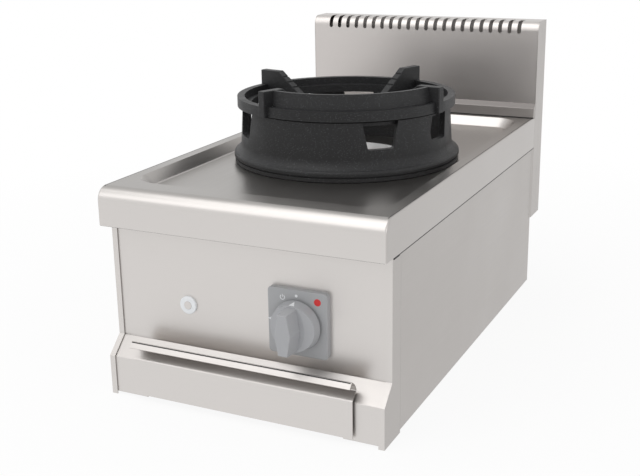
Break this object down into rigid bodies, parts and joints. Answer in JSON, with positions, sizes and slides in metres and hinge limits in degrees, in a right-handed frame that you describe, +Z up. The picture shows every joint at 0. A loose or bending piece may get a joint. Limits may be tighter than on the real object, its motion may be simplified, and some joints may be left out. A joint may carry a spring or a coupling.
{
  "type": "wok range",
  "caption": "Counter-top gas wok range: steel body with a recessed top, cast wok ring, rear flue, turn knob, push igniter and pull-out drip tray.",
  "frame": {"origin": "under the middle of the overall box, on the surface that the range stands on", "axes": "+X to the right as the cook sees it, +Y to the back towards the flue, +Z up"},
  "size_m": [0.4, 0.724, 0.442],
  "materials": {
    "worktop_steel": "brushed, satin",
    "panel_steel": "brushed, satin",
    "hidden_steel": "plain mill finish",
    "polished_steel": "polished",
    "ring_iron": "matt black enamel, slightly grainy",
    "burner_iron": "rough cast",
    "brass": "machined",
    "copper": "drawn tube",
    "tube_alloy": "cast",
    "knob_plastic": "fine satin",
    "dial_plastic": "fine satin",
    "ring_plastic": "gloss",
    "button_plastic": "satin",
    "ceramic": "glazed",
    "lead_cover": "matt",
    "pad_rubber": "matt"
  },
  "bodies": {
    "range": {"worktop": "worktop_steel", "side_panel_left": "panel_steel", "side_panel_right": "panel_steel", "front_cheek_left": "panel_steel", "front_cheek_right": "panel_steel", "control_panel": "panel_steel", "plinth_front": "panel_steel", "tray_runner_left": "hidden_steel", "tray_runner_right": "hidden_steel", "base_plate": "hidden_steel", "rear_panel": "hidden_steel", "rear_screws": "hidden_steel", "foot_pads": "pad_rubber", "flue_front": "panel_steel", "flue_cheek_left": "panel_steel", "flue_cheek_right": "panel_steel", "flue_cover": "panel_steel", "flue_floor": "hidden_steel", "flue_foot_strip": "panel_steel", "burner_body": "burner_iron", "burner_bridge": "hidden_steel", "burner_bolts": "hidden_steel", "mixing_tube": "tube_alloy", "nozzle_rail": "hidden_steel", "nozzle_block": "brass", "gas_nozzle": "brass", "pilot_bracket": "hidden_steel", "pilot_burner": "brass", "flame_sensor": "polished_steel", "spark_electrode": "ceramic", "gas_tap": "brass", "tap_screws": "hidden_steel", "gas_inlet": "brass", "supply_pipe": "copper", "burner_pipe": "copper", "pilot_pipe": "copper", "sensor_lead": "copper", "dial_plate": "dial_plastic", "igniter_ring": "ring_plastic", "igniter_nut": "hidden_steel", "spark_unit": "button_plastic", "ignition_lead": "lead_cover"},
    "tray": {"tray_front": "panel_steel", "tray_pan": "hidden_steel"},
    "tap_push": {"tap_plunger": "brass"},
    "knob": {"control_knob": "knob_plastic", "tap_spindle": "brass"},
    "igniter": {"igniter_button": "panel_steel"},
    "lower_ring": {"wok_ring_base": "ring_iron"},
    "upper_ring": {"wok_ring_top": "ring_iron"},
    "collar": {"burner_collar": "polished_steel"},
    "crown": {"burner_crown": "brass"},
    "cap": {"burner_cap": "burner_iron"},
    "shutter": {"air_shutter": "hidden_steel"}
  },
  "joints": [
    {"name": "tray_slide", "type": "slide", "parent": "range", "child": "tray", "axis": [0, -1, 0], "range_m": [0, 0.45]},
    {"name": "knob_push", "type": "slide", "parent": "range", "child": "tap_push", "axis": [0, 1, 0], "range_m": [0, 0.0035], "stiffness_N_per_m": 1500, "springref_m": -0.002},
    {"name": "knob_turn", "type": "hinge", "parent": "tap_push", "child": "knob", "pos_m": [0.076, -0.338, 0.1365], "axis": [0, -1, 0], "range_deg": [0, 90]},
    {"name": "igniter_push", "type": "slide", "parent": "range", "child": "igniter", "axis": [0, 1, 0], "range_m": [0, 0.004], "stiffness_N_per_m": 1500, "springref_m": -0.002},
    {"name": "lower_ring_lift", "type": "slide", "parent": "range", "child": "lower_ring", "axis": [0, 0, 1], "range_m": [0, 0.08]},
    {"name": "upper_ring_lift", "type": "slide", "parent": "lower_ring", "child": "upper_ring", "axis": [0, 0, 1], "range_m": [0, 0.06]},
    {"name": "collar_lift", "type": "slide", "parent": "range", "child": "collar", "axis": [0, 0, 1], "range_m": [0, 0.06]},
    {"name": "crown_lift", "type": "slide", "parent": "range", "child": "crown", "axis": [0, 0, 1], "range_m": [0, 0.012]},
    {"name": "cap_lift", "type": "slide", "parent": "crown", "child": "cap", "axis": [0, 0, 1], "range_m": [0, 0.02]},
    {"name": "shutter_turn", "type": "hinge", "parent": "range", "child": "shutter", "pos_m": [0, -0.197, 0.215], "axis": [0, -1, 0], "range_deg": [0, 45]}
  ]
}
